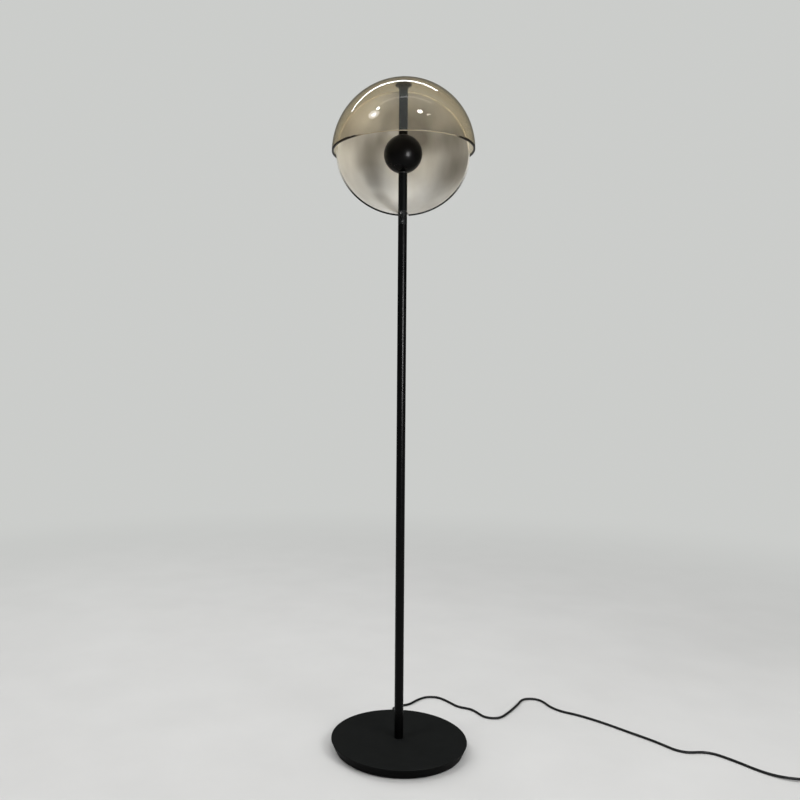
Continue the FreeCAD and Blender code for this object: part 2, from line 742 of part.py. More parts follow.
def rear_clamp_line(neck):
    """Length of the support rod's axis up to the rear flange's neck, and the clamp's rise."""
    rise = math.radians(support_rise)
    way = V(0, math.cos(rise), math.sin(rise))
    offset = BALL - CURVATURE
    along = offset.dot(way)
    reach = math.sqrt(along ** 2 - offset.dot(offset) + neck ** 2) - along
    meeting = offset + way * reach
    return reach, math.degrees(math.atan2(meeting.z, meeting.y))


def make_rear_glass():
    face = rear_inner_radius - seal_thickness
    neck = face - rear_flange_height
    rod_reach, clamp_rise = rear_clamp_line(neck)

    def place(shape):
        return aim_back(shape, CURVATURE, clamp_rise)

    glass = aim_back(shell_above(rear_outer_radius, rear_inner_radius, rear_setback),
                     CURVATURE, -rear_glass_tilt)
    glass = glass.cut(place(cylinder(glass_hole_radius, 0, 2 * rear_outer_radius)))
    notch_radius = pole_radius + notch_clearance
    notch_top = globe_height - rear_rim_radius / 2
    notch = cylinder(notch_radius, 0, notch_top)
    front = Part.makeBox(2 * notch_radius, rear_outer_radius, notch_top,
                         V(-notch_radius, -rear_outer_radius, 0))
    save("rear_glass", glass.cut(notch).cut(front))

    rod_start = flange_face - support_rod_socket
    rod_end = rod_reach + rear_rod_depth
    save("support_rod", rear_axis(cylinder(support_rod_radius, rod_start, rod_end)))
    stud_start = neck + rear_rod_depth + rear_stud_gap
    flange = trumpet(0, support_rod_radius + rear_neck_wall, rear_flange_radius, neck, face)
    flange = place(flange.cut(cylinder(clamp_stud_radius, stud_start, face + 1)))
    socket = rear_axis(cylinder(support_rod_radius + fit_gap, rod_start, rod_end))
    save("rear_flange", flange.cut(socket))
    make_clamp("rear", rear_inner_radius, rear_outer_radius, rear_flange_radius, stud_start, place)
    print("rear glass: radius %.3f, centre of curvature at y %.2f and z %.2f; clamp rises %.3f degrees"
          % (rear_outer_radius, CURVATURE.y, CURVATURE.z, clamp_rise))


# ---------------------------------------------------------------- cord
def make_floor_cord():
    edges, radii = rounded_path(cord_route)
    cord, length = swept_wire(edges, cord_radius)
    report_sweep("floor_cord", cord, length, cord_radius)
    print("floor_cord radii:", " ".join("%.0f" % r for r in radii))
    save("floor_cord", cord)
    return length


def coil_point(turn):
    """Centre line of the coil after so many turns, clockwise from its top, and its direction."""
    half = coil_turns_in_layer + 0.25
    inward = half - abs(turn - half)
    radius = coil_outer_radius - coil_turn_pitch * inward
    climb = min(max((turn - half + 0.25) * 2, 0.0), 1.0)
    smooth = climb * climb * (3 - 2 * climb)
    height = cord_radius + coil_layer_pitch * smooth
    angle = math.radians(90 - 360 * turn)
    center_x = switch_center[0] + switch_length / 2 + coil_lead_in
    center_y = switch_center[1] - coil_outer_radius
    return V(center_x + radius * math.cos(angle), center_y + radius * math.sin(angle), height)


def make_coil():
    """Put-away cord: from the foot switch round two layers of turns and out to the plug."""
    step = 0.25
    last_turn = 2 * (coil_turns_in_layer + 0.25)
    count = int(round(last_turn / step))
    marks = [coil_point(step * k) for k in range(count + 1)]
    ways = []
    for k in range(count + 1):
        ahead = coil_point(min(step * k + 0.01, last_turn))
        behind = coil_point(max(step * k - 0.01, 0.0))
        ways.append((ahead - behind).normalize())
    ways[0] = V(1, 0, 0)
    out_way = V(-1, 0, 0)
    ways[-1] = out_way
    tail = 2 * cord_radius
    outlet = V(switch_center[0] + switch_length / 2, switch_center[1], switch_port_height)
    lead = outlet + V(tail, 0, 0)
    plug_point = marks[-1] + out_way * coil_lead_out
    plug_point.z = plug_thickness / 2
    before_plug = plug_point - out_way * tail
    edges = [Part.LineSegment(outlet, lead).toShape()]
    edges += biarc(lead, ways[0], marks[0], ways[0])
    for k in range(count):
        edges += biarc(marks[k], ways[k], marks[k + 1], ways[k + 1])
    edges += biarc(marks[-1], out_way, before_plug, out_way)
    edges.append(Part.LineSegment(before_plug, plug_point).toShape())
    coil, length = swept_wire(edges, cord_radius)
    report_sweep("cord_coil", coil, length, cord_radius)
    print("cord_coil: %.1f turns, least gap to itself %.2f"
          % (last_turn, least_gap(edges, 2 * cord_radius)))
    save("cord_coil", coil)
    return plug_point, out_way, length


def least_gap(edges, diameter):
    """Least clear distance between stretches of one tube that aren't neighbours."""
    samples = []
    travelled = 0.0
    for edge in edges:
        steps = max(2, int(edge.Length / 2.0))
        first, last = edge.FirstParameter, edge.LastParameter
        for k in range(steps):
            samples.append((travelled + edge.Length * k / steps,
                            edge.valueAt(first + (last - first) * k / steps)))
        travelled += edge.Length
    least = 1e9
    for i, (along, point) in enumerate(samples):
        for other_along, other in samples[i + 1:]:
            if other_along - along > 4 * diameter:
                least = min(least, point.distanceToPoint(other))
    return least - diameter


# ---------------------------------------------------------------- foot switch
def stadium(length, width, bottom, top):
    """Flat bar with round ends."""
    half = (length - width) / 2
    middle = block(length - width, width, bottom, top)
    ends = [cylinder(width / 2, bottom, top).translated(V(side * half, 0, 0)) for side in (-1, 1)]
    return merge(middle, *ends)


def make_switch():
    def place(shape):
        return shape.translated(V(switch_center[0], switch_center[1], 0))

    port = Part.makeCylinder(cord_radius + fit_gap, 2 * switch_length,
                             V(-switch_length, 0, switch_port_height), V(1, 0, 0))
    inner_length = switch_length - 2 * switch_wall
    inner_width = switch_width - 2 * switch_wall
    roof = switch_height - switch_wall
    tray = stadium(switch_length, switch_width, 0, switch_split_height)
    tray = tray.cut(stadium(inner_length, inner_width, switch_wall, switch_height))
    cover = stadium(switch_length, switch_width, switch_split_height, switch_height)
    top_rim = [e for e in cover.Edges if e.BoundBox.ZMin > switch_height - 0.01]
    cover = cover.makeFillet(switch_edge_round, top_rim)
    cover = cover.cut(stadium(inner_length, inner_width, 0, roof))
    cover = cover.cut(cylinder(button_radius + button_gap, 0, switch_height + 1))
    screws = []
    for side in (-1, 1):
        at = V(side * switch_screw_spacing / 2, switch_post_radius + cord_radius + switch_post_gap, 0)
        lower = tube(switch_post_radius, switch_screw_radius + fit_gap, switch_wall, switch_split_height)
        upper = tube(switch_post_radius, switch_screw_radius, switch_split_height, roof)
        head_seat = cylinder(2 * switch_screw_radius + fit_gap, 0, switch_wall)
        shank_hole = cylinder(switch_screw_radius + fit_gap, 0, switch_split_height)
        tray = tray.fuse(lower.translated(at)).cut(head_seat.translated(at))
        tray = tray.cut(shank_hole.translated(at))
        cover = cover.fuse(upper.translated(at))
        screw = merge(cylinder(switch_screw_radius, 0, switch_screw_length),
                      cylinder(2 * switch_screw_radius, 0, switch_screw_head))
        screws.append(place(screw.translated(at + V(0, 0, switch_wall - switch_screw_head))))
    save("switch_tray", place(tray.cut(port)))
    save("switch_cover", place(cover.cut(port)))
    save("switch_screws", *screws)

    flange_top = roof - button_flange_gap
    flange_low = flange_top - button_flange_height
    button_low = flange_low - button_skirt
    button_top = switch_height + button_proud
    crown_radius = button_radius - button_crown_margin
    button = turned([(0, button_low), (button_radius, button_low), (button_radius, flange_low),
                     (button_radius + button_gap + button_flange_width, flange_low),
                     (button_radius + button_gap + button_flange_width, flange_top),
                     (button_radius, flange_top), (button_radius, button_top - button_crown),
                     (crown_radius, button_top), (0, button_top)])
    save("switch_button", place(button))
    contact_top = switch_wall + contact_height
    save("switch_contact", place(block(contact_length, contact_width, switch_wall, contact_top)))
    save("switch_spring", place(coil_spring(contact_top, button_low)))


def coil_spring(bottom, top):
    """Compression spring: one round wire on quarter-turn biarcs."""
    low = bottom + switch_spring_wire + spring_end_gap
    rise = top - bottom - 2 * (switch_spring_wire + spring_end_gap)
    count = 4 * switch_spring_turns
    marks = []
    ways = []
    for k in range(count + 1):
        angle = math.radians(90.0 * k)
        marks.append(V(switch_spring_radius * math.cos(angle), switch_spring_radius * math.sin(angle),
                       low + rise * k / count))
        climb = rise / (2 * math.pi * switch_spring_turns)
        ways.append(V(-switch_spring_radius * math.sin(angle), switch_spring_radius * math.cos(angle),
                      climb).normalize())
    edges = []
    for k in range(count):
        edges += biarc(marks[k], ways[k], marks[k + 1], ways[k + 1])
    spring, length = swept_wire(edges, switch_spring_wire)
    report_sweep("switch_spring", spring, length, switch_spring_wire)
    return spring


# ---------------------------------------------------------------- plug
def make_plug(point, way):
    """Flat two-pin plug that lies on the floor, its face turned away from the coil."""
    def place(shape):
        placed = shape.copy()
        placed.rotate(ORIGIN, UP, math.degrees(math.atan2(way.y, way.x)))
        placed.translate(V(point.x, point.y, plug_thickness / 2))
        return placed

    half = plug_thickness / 2
    neck = plug_neck_width / 2
    face = plug_face_width / 2
    waist = plug_length * plug_neck_part
    shoulder = plug_length * plug_face_part
    flared = neck + plug_neck_flare
    outline = [V(0, -neck, -half), V(waist, -flared, -half), V(shoulder, -face, -half),
               V(plug_length, -face, -half), V(plug_length, face, -half), V(shoulder, face, -half),
               V(waist, flared, -half), V(0, neck, -half), V(0, -neck, -half)]
    body = Part.Face(Part.makePolygon(outline)).extrude(V(0, 0, plug_thickness))
    rims = [e for e in body.Edges if e.BoundBox.ZLength < 0.01]
    body = body.makeFillet(plug_edge_round, rims)
    pins = []
    for side in (-1, 1):
        root = V(plug_length, side * plug_pin_spacing / 2, 0)
        shank = plug_pin_length - plug_pin_radius
        pin = Part.makeCylinder(plug_pin_radius, shank, root, V(1, 0, 0))
        tip = Part.makeSphere(plug_pin_radius, root + V(shank, 0, 0))
        pins.append(place(merge(pin, tip)))
    save("plug_body", place(body))
    save("plug_pins", *pins)


# ---------------------------------------------------------------- build
os.makedirs("parts", exist_ok=True)
make_base()
make_pole()
make_swivel()
make_ball()
make_lamp_unit()
make_dome()
make_rear_glass()
floor_length = make_floor_cord()
plug_point, plug_way, coil_length = make_coil()
make_switch()
make_plug(plug_point, plug_way)
print("cord from the strain relief to the plug: %.0f mm" % (floor_length + switch_length + coil_length))
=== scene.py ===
import json
import math

import bmesh
import bpy
from mathutils import Matrix, Vector


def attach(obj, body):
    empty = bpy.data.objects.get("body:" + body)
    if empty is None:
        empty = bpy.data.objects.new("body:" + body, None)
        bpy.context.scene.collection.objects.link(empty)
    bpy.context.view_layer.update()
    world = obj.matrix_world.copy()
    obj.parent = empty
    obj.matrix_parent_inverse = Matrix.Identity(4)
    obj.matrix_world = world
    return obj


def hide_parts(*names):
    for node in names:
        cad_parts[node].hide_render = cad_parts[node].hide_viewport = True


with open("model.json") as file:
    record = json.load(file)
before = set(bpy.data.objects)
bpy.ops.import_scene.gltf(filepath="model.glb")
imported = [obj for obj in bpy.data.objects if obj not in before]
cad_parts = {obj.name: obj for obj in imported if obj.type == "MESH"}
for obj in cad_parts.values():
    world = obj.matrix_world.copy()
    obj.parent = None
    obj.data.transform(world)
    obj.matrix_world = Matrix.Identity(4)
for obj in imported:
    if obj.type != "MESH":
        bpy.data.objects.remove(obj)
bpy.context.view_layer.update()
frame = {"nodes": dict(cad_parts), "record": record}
nodes = frame["nodes"]
scene = bpy.context.scene

scene.view_settings.view_transform = "Standard"

GLOBE_Z = 1.338                 # centre of the dome and of the rear glass's rim
BACKDROP = (0.600, 0.610, 0.595)
ROOM = (0.060, 0.060, 0.058)    # what shiny surfaces mirror past the floor
SKYLIGHT = (0.64, 0.74, 0.78)   # what they mirror high up in front


def put(name, data):
    """A new object with the data, in the scene."""
    item = bpy.data.objects.new(name, data)
    scene.collection.objects.link(item)
    return item


# ---------------------------------------------------------------- camera
CAMERA_AT = (-0.1375, -1.797, 0.830)
CAMERA_ROLL = 0.0075
FOCAL_LENGTH = 36.0             # as long as the film is wide
LENS_SHIFT = (0.0748, -0.0275)

camera_data = bpy.data.cameras.new("camera")
camera_data.sensor_width = FOCAL_LENGTH
camera_data.lens = FOCAL_LENGTH
camera_data.shift_x, camera_data.shift_y = LENS_SHIFT
camera = put("camera", camera_data)
camera.matrix_world = (Matrix.Translation(CAMERA_AT) @ Matrix.Rotation(math.pi / 2, 4, "X")
                       @ Matrix.Rotation(CAMERA_ROLL, 4, "Z"))
scene.camera = camera


# ---------------------------------------------------------------- cords
CORD_DIAMETER = 0.0055
LIES_AT = CORD_DIAMETER / 2     # height of the cord's middle where it lies on the floor

FLOOR_TRACE = (
    (0.022, 0.225), (0.047, 0.236), (0.066, 0.262), (0.093, 0.284), (0.124, 0.281),
    (0.147, 0.251), (0.166, 0.220), (0.196, 0.209), (0.2095, 0.186), (0.2193, 0.1636),
    (0.2395, 0.1535), (0.262, 0.1583), (0.286, 0.1875), (0.3185, 0.234), (0.336, 0.267),
    (0.3537, 0.2762), (0.3733, 0.2742), (0.3886, 0.2614), (0.399, 0.225), (0.4185, 0.198),
    (0.456, 0.177), (0.504, 0.133), (0.549, 0.081), (0.593, 0.033), (0.628, -0.021),
    (0.688, -0.012), (0.724, -0.049), (0.768, -0.113),
)
OUT_OF_BASE = [(0.0, 0.1772, 0.0077), (0.0, 0.195, 0.0077), (0.007, 0.213, 0.0042)]
INTO_SWITCH = [(0.814, -0.142, 0.006), (0.852, -0.142, 0.006)]
FLOOR_ROUTE = OUT_OF_BASE + [(x, y, LIES_AT) for x, y in FLOOR_TRACE] + INTO_SWITCH

SWITCH_OUTLET = (0.938, -0.142, 0.006)
INTO_COIL = [(0.947, -0.142, 0.006), (0.958, -0.142, 0.0048), (0.969, -0.142, 0.003)]
OUT_OF_COIL = [(0.968, -0.218, 0.0092), (0.955, -0.218, 0.008), (0.944, -0.218, 0.007)]
PLUG_INLET = (0.935, -0.218, 0.007)
COIL_CENTER = (0.980, -0.180)
COIL_RADIUS = 0.038             # outermost turn
COIL_START = 90                 # degrees
COIL_TURN_PITCH = 0.0063
COIL_LAYER_PITCH = 0.0066
COIL_TURNS = 5.5
CLIMB_TURNS = 0.5               # part of a turn that rises to the second layer
POINTS_PER_TURN = 16


def coil_points():
    """Two layers of turns, in and out again, climbing where the spiral reverses."""
    half = COIL_TURNS / 2
    swell = 1 / math.cos(math.pi / POINTS_PER_TURN)
    points = []
    for k in range(int(COIL_TURNS * POINTS_PER_TURN) + 1):
        turn = k / POINTS_PER_TURN
        inward = half - abs(turn - half)
        radius = (COIL_RADIUS - COIL_TURN_PITCH * inward) * swell
        climb = min(max((turn - half + CLIMB_TURNS / 2) / CLIMB_TURNS, 0.0), 1.0)
        height = LIES_AT + COIL_LAYER_PITCH * climb * climb * (3 - 2 * climb)
        angle = math.radians(COIL_START - 360 * turn)
        points.append((COIL_CENTER[0] + radius * math.cos(angle),
                       COIL_CENTER[1] + radius * math.sin(angle), height))
    return points


def spline_tube(name, points, diameter):
    """Round tube along one smooth spline that has the points as its control points."""
    curve = bpy.data.curves.new(name, "CURVE")
    curve.dimensions = "3D"
    curve.bevel_depth = 1.0     # times each point's radius
    curve.bevel_resolution = 5
    curve.use_fill_caps = True
    spline = curve.splines.new("NURBS")
    spline.points.add(len(points) - 1)
    for control, point in zip(spline.points, points):
        control.co = (*point, 1.0)
        control.radius = diameter / 2
    spline.order_u = 3
    spline.use_endpoint_u = True
    spline.resolution_u = 6
    return put(name, curve)


floor_cord = spline_tube("mains_cord", FLOOR_ROUTE, CORD_DIAMETER)
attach(floor_cord, "stand")
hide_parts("floor_cord")

coil_route = [SWITCH_OUTLET, *INTO_COIL, *coil_points(), *OUT_OF_COIL, PLUG_INLET]
coil = spline_tube("mains_coil", coil_route, CORD_DIAMETER)
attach(coil, "stand")
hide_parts("cord_coil")


# ---------------------------------------------------------------- materials
NOISE_LOW, NOISE_HIGH = 0.3, 0.7    # noise seldom leaves this range


def grey(value):
    return (value, value, value)


def smooth_step(tree, value, start, end, low=0.0, high=1.0):
    """A value going smoothly from low to high as another one goes from start to end."""
    step = tree.nodes.new("ShaderNodeMapRange")
    step.interpolation_type = "SMOOTHSTEP"
    step.inputs["From Min"].default_value = start
    step.inputs["From Max"].default_value = end
    step.inputs["To Min"].default_value = low
    step.inputs["To Max"].default_value = high
    tree.links.new(value, step.inputs["Value"])
    return step.outputs["Result"]


def seen_rays(tree):
    """1 for rays from the camera, straight or through glass, and 0 for the rest."""
    rays = tree.nodes.new("ShaderNodeLightPath")
    largest = tree.nodes.new("ShaderNodeMath")
    largest.operation = "MAXIMUM"
    tree.links.new(rays.outputs["Is Camera Ray"], largest.inputs[0])
    tree.links.new(rays.outputs["Is Transmission Ray"], largest.inputs[1])
    return largest.outputs["Value"]


class Material:
    """A Principled material with object coordinates and helpers for its patterns."""

    def __init__(self, name, color, roughness, metallic=0.0):
        self.material = bpy.data.materials.new(name)
        self.material.use_nodes = True
        self.tree = self.material.node_tree
        self.shader = self.tree.nodes["Principled BSDF"]
        self.output = self.tree.nodes["Material Output"]
        self.shader.inputs["Base Color"].default_value = (*color, 1.0)
        self.shader.inputs["Roughness"].default_value = roughness
        self.shader.inputs["Metallic"].default_value = metallic
        self.coordinates = self.add("ShaderNodeTexCoord").outputs["Object"]
        self.normal = None

    def add(self, kind, **values):
        node = self.tree.nodes.new(kind)
        for key, value in values.items():
            setattr(node, key, value)
        return node

    def link(self, source, target):
        self.tree.links.new(source, target)

    def set(self, **values):
        for key, value in values.items():
            self.shader.inputs[key.replace("_", " ")].default_value = value

    def along(self, axis):
        """The object coordinate on one axis, in metres."""
        split = self.add("ShaderNodeSeparateXYZ")
        self.link(self.coordinates, split.inputs["Vector"])
        return split.outputs[axis]

    def size(self, value):
        absolute = self.add("ShaderNodeMath", operation="ABSOLUTE")
        self.link(value, absolute.inputs[0])
        return absolute.outputs["Value"]

    def close_to(self, point, reach):
        """1 at a point of the object, falling smoothly to 0 at the reach from it."""
        away = self.add("ShaderNodeVectorMath", operation="DISTANCE")
        away.inputs[1].default_value = point
        self.link(self.coordinates, away.inputs[0])
        return smooth_step(self.tree, away.outputs["Value"], 0.0, reach, 1.0, 0.0)

    def near(self, value, middle, reach):
        """1 where the value is the middle one, falling smoothly to 0 at the reach from it."""
        away = self.add("ShaderNodeMath", operation="SUBTRACT")
        away.inputs[1].default_value = middle
        self.link(value, away.inputs[0])
        return smooth_step(self.tree, self.size(away.outputs["Value"]), 0.0, reach, 1.0, 0.0)

    def less(self, first, second, share):
        """The first value without a share of the second."""
        node = self.add("ShaderNodeMath", operation="MULTIPLY_ADD")
        node.inputs[1].default_value = -share
        self.link(second, node.inputs[0])
        self.link(first, node.inputs[2])
        return node.outputs["Value"]

    def mixed(self, first, second, share):
        """The first value with a share of it taken by the second."""
        mix = self.add("ShaderNodeMix", data_type="FLOAT")
        mix.inputs["Factor"].default_value = share
        self.link(first, mix.inputs["A"])
        self.link(second, mix.inputs["B"])
        return mix.outputs["Result"]

    def noise(self, scale, detail, stretch=(1.0, 1.0, 1.0)):
        mapping = self.add("ShaderNodeMapping")
        mapping.inputs["Scale"].default_value = stretch
        self.link(self.coordinates, mapping.inputs["Vector"])
        texture = self.add("ShaderNodeTexNoise")
        texture.inputs["Scale"].default_value = scale
        texture.inputs["Detail"].default_value = detail
        self.link(mapping.outputs["Vector"], texture.inputs["Vector"])
        return texture.outputs["Fac"]

    def between(self, factor, low, high, start=NOISE_LOW, end=NOISE_HIGH):
        """A value from low to high as the factor goes from start to end."""
        span = self.add("ShaderNodeMapRange")
        span.inputs["From Min"].default_value = start
        span.inputs["From Max"].default_value = end
        span.inputs["To Min"].default_value = low
        span.inputs["To Max"].default_value = high
        self.link(factor, span.inputs["Value"])
        return span.outputs["Result"]

    def colors(self, factor, first, second, start=NOISE_LOW, end=NOISE_HIGH):
        """Base colour from the first to the second as the factor goes from start to end."""
        ramp = self.add("ShaderNodeValToRGB")
        for stop, place, color in zip(ramp.color_ramp.elements, (start, end), (first, second)):
            stop.position = place
            stop.color = (*color, 1.0)
        self.link(factor, ramp.inputs["Fac"])
        self.link(ramp.outputs["Color"], self.shader.inputs["Base Color"])

    def rough(self, factor, low, high):
        self.link(self.between(factor, low, high), self.shader.inputs["Roughness"])

    def bump(self, height, strength, distance):
        """Relief on top of the relief there is."""
        node = self.add("ShaderNodeBump")
        node.inputs["Strength"].default_value = strength
        node.inputs["Distance"].default_value = distance
        self.link(height, node.inputs["Height"])
        if self.normal is not None:
            self.link(self.normal, node.inputs["Normal"])
        self.normal = node.outputs["Normal"]
        self.link(self.normal, self.shader.inputs["Normal"])

    def absorb(self, color, density):
        volume = self.add("ShaderNodeVolumeAbsorption")
        volume.inputs["Color"].default_value = (*color, 1.0)
        volume.inputs["Density"].default_value = density
        self.link(volume.outputs["Volume"], self.output.inputs["Volume"])

    def shade_with(self, other, share):
        """Put another shader in the place of a share of this one."""
        mix = self.add("ShaderNodeMixShader")
        self.link(share, mix.inputs["Fac"])
        self.link(self.shader.outputs["BSDF"], mix.inputs[1])
        self.link(other, mix.inputs[2])
        self.link(mix.outputs["Shader"], self.output.inputs["Surface"])

    def let_lamps_through(self, tint):
        """Shadow rays pass the glass with its tint, so that lamps reach what is inside."""
        clear = self.add("ShaderNodeBsdfTransparent")
        clear.inputs["Color"].default_value = (*tint, 1.0)
        rays = self.add("ShaderNodeLightPath")
        self.shade_with(clear.outputs["BSDF"], rays.outputs["Is Shadow Ray"])


def powder_coat(name, dark, light, rough, peel, edge=None):
    """Baked paint: fine orange peel, a mottled sheen and a trace of dust.

    With two heights as its edge, it is painted dark under the first and light over the second:
    painted shade on a side below a top face, painted light on the top.
    """
    paint = Material(name, dark, rough[0])
    mottle = paint.noise(scale=38.0, detail=6.0)
    if edge is None:
        paint.colors(mottle, dark, light)
    else:
        # painted shade below the first height, painted light above the second
        lit = paint.between(paint.along("Z"), 0.0, 1.0, *edge)
        paint.colors(paint.mixed(lit, mottle, share=0.25), dark, light, start=0.25, end=0.90)
    paint.rough(paint.noise(scale=16.0, detail=4.0), *rough)
    paint.bump(paint.noise(scale=peel, detail=2.0), strength=0.12, distance=0.0003)
    paint.bump(paint.noise(scale=peel * 4.0, detail=1.0), strength=0.06, distance=0.0001)
    return paint


def moulded(name, dark, light, rough, grain):
    """Moulded plastic or rubber with a fine spark-eroded grain."""
    plastic = Material(name, dark, rough[0])
    plastic.colors(plastic.noise(scale=90.0, detail=3.0), dark, light)
    plastic.rough(plastic.noise(scale=60.0, detail=2.0), *rough)
    plastic.bump(plastic.noise(scale=grain, detail=2.0), strength=0.18, distance=0.0001)
    return plastic


def machined(name, dark, light, rough):
    """Turned metal with fine lines round it and a mottled plating."""
    metal = Material(name, dark, rough[0], metallic=1.0)
    metal.colors(metal.noise(scale=120.0, detail=3.0), dark, light)
    metal.rough(metal.noise(scale=300.0, detail=2.0, stretch=(1.0, 1.0, 8.0)), *rough)
    lines = metal.noise(scale=900.0, detail=1.0, stretch=(0.2, 0.2, 3.0))
    metal.bump(lines, strength=0.1, distance=0.0001)
    return metal


satin_paint = powder_coat("satin black paint", grey(0.0008), grey(0.0017), (0.25, 0.33), 700.0)
satin_paint.set(Specular_IOR_Level=0.08)
fluted_paint = powder_coat("burnished black paint", grey(0.0008), grey(0.0017), (0.20, 0.27),
                           900.0)
fluted_paint.set(Specular_IOR_Level=0.26)
# the base's side below its top face is painted near black and its top lighter: painted shade on
# the side
base_paint = powder_coat("matte black paint", grey(0.0012), (0.0105, 0.0112, 0.0108),
                         (0.46, 0.58), 1100.0, edge=(0.0215, 0.0235))
base_paint.set(Specular_IOR_Level=0.04)

amber = Material("amber glass", (0.97, 0.93, 0.85), 0.0)
amber.set(Transmission_Weight=1.0, IOR=1.5)
amber.bump(amber.noise(scale=14.0, detail=2.0), strength=0.02, distance=0.0008)
amber.absorb((0.48, 0.39, 0.17), density=100.0)
amber.let_lamps_through((0.84, 0.79, 0.69))

# The dome's rim is painted pale near its middle plane, a painted highlight, and painted dark
# towards its sides, painted shade.
dome_rim_painted_light = Material("amber glass edge with painted light", (0.05, 0.03, 0.02), 0.30)
rim_shade_sideways = dome_rim_painted_light.between(dome_rim_painted_light.size(dome_rim_painted_light.along("X")), 0.0, 1.0, 0.088, 0.120)
dome_rim_painted_light.colors(dome_rim_painted_light.mixed(rim_shade_sideways, dome_rim_painted_light.noise(scale=300.0, detail=3.0), share=0.15),
                 (0.40, 0.34, 0.24), (0.008, 0.005, 0.003))
dome_rim_painted_light.set(Specular_IOR_Level=0.20)

# Tone of the rear glass: a soft pattern, partly the glass's own uneven tone and partly painted
# blurred reflections, painted paler to the left as painted light, with darker patches of painted
# shade in it.
PAINTED_SHADE_PATCHES = (                      # middle, reach and depth
    ((-0.079, 0.075, GLOBE_Z - 0.002), 0.052, 0.18),
    ((-0.064, 0.073, GLOBE_Z - 0.047), 0.036, 0.10),
    ((-0.050, 0.052, GLOBE_Z - 0.092), 0.036, 0.09),
    ((0.135, 0.030, GLOBE_Z - 0.035), 0.085, 0.19),
    ((0.010, 0.080, GLOBE_Z + 0.095), 0.085, 0.19),
)
RIM_SHADOW_BELT = (GLOBE_Z + 0.045, 0.045)   # middle height and reach
RIM_SHADOW_BELT_DEPTH = 0.12

satin = Material("satin glass", (0.60, 0.58, 0.54), 0.50)
satin.set(Transmission_Weight=0.30, IOR=1.45, Coat_Weight=0.20, Coat_Roughness=0.35)
tone_and_painted_light = satin.mixed(satin.noise(scale=5.0, detail=3.0, stretch=(2.2, 2.2, 0.9)),
                    satin.between(satin.along("X"), 0.60, 0.50, -0.12, 0.12), share=0.6)
# darker patches of painted shade, standing in for shadows and dark reflections
for patch_at, patch_reach, patch_depth in PAINTED_SHADE_PATCHES:
    tone_and_painted_light = satin.less(tone_and_painted_light, satin.close_to(patch_at, patch_reach), patch_depth)
# a darker belt under the dome's rim: a painted shadow of the rim
tone_and_painted_light = satin.less(tone_and_painted_light, satin.near(satin.along("Z"), *RIM_SHADOW_BELT), RIM_SHADOW_BELT_DEPTH)
satin.colors(tone_and_painted_light, (0.20, 0.188, 0.165), (0.91, 0.92, 0.92), start=0.30, end=0.61)
satin.rough(satin.noise(scale=26.0, detail=4.0), 0.46, 0.58)
satin.bump(satin.noise(scale=1500.0, detail=2.0), strength=0.15, distance=0.0001)
satin.let_lamps_through((0.36, 0.34, 0.31))

# The rear glass's rim is painted dark at its foot, painted shade, and pale from the globe's
# middle up, painted light.
ground_edge_painted_light = Material("ground glass edge with painted light", (0.10, 0.09, 0.08), 0.35)
rim_lit_upwards = ground_edge_painted_light.between(ground_edge_painted_light.along("Z"), 0.0, 1.0, GLOBE_Z - 0.11, GLOBE_Z - 0.02)
speckled = ground_edge_painted_light.mixed(rim_lit_upwards, ground_edge_painted_light.noise(scale=400.0, detail=3.0), share=0.2)
ground_edge_painted_light.colors(speckled, (0.005, 0.005, 0.004), (0.62, 0.61, 0.58), start=0.2, end=0.8)
ground_edge_painted_light.set(Specular_IOR_Level=0.20)
ground_edge_painted_light.bump(ground_edge_painted_light.noise(scale=2200.0, detail=2.0), strength=0.3, distance=0.0001)

cord_pvc = moulded("cord sheath", grey(0.004), grey(0.008), (0.36, 0.46), 1800.0)
cord_pvc.set(Specular_IOR_Level=0.22)
switch_plastic = moulded("switch plastic", grey(0.012), grey(0.018), (0.38, 0.48), 1400.0)
seal_rubber = moulded("seal rubber", grey(0.020), grey(0.030), (0.70, 0.82), 900.0)
inner_plastic = moulded("inner plastic", (0.70, 0.70, 0.68), (0.78, 0.78, 0.76), (0.42, 0.52),
                        1200.0)
slip_plastic = moulded("bearing plastic", grey(0.012), grey(0.018), (0.38, 0.48), 900.0)
lead_pvc = moulded("lead sheath", grey(0.40), grey(0.46), (0.40, 0.50), 900.0)
opal = moulded("opal acrylic", (0.84, 0.84, 0.82), (0.90, 0.90, 0.88), (0.34, 0.42), 700.0)
phosphor = moulded("led phosphor", (0.80, 0.62, 0.10), (0.90, 0.74, 0.18), (0.30, 0.40), 1500.0)
zinc_steel = machined("zinc plated steel", (0.55, 0.55, 0.53), (0.66, 0.66, 0.63), (0.28, 0.40))
brass = machined("brass", (0.66, 0.50, 0.22), (0.76, 0.58, 0.28), (0.25, 0.36))
nickel = machined("nickel plated brass", (0.66, 0.65, 0.62), (0.76, 0.75, 0.72), (0.14, 0.24))
aluminium = machined("aluminium", (0.68, 0.68, 0.69), (0.78, 0.78, 0.79), (0.30, 0.42))
board = machined("board", grey(0.78), grey(0.86), (0.40, 0.50))
black_steel = machined("blackened steel", grey(0.02), grey(0.03), (0.34, 0.44))
iron = machined("cast iron", grey(0.10), grey(0.16), (0.60, 0.75))

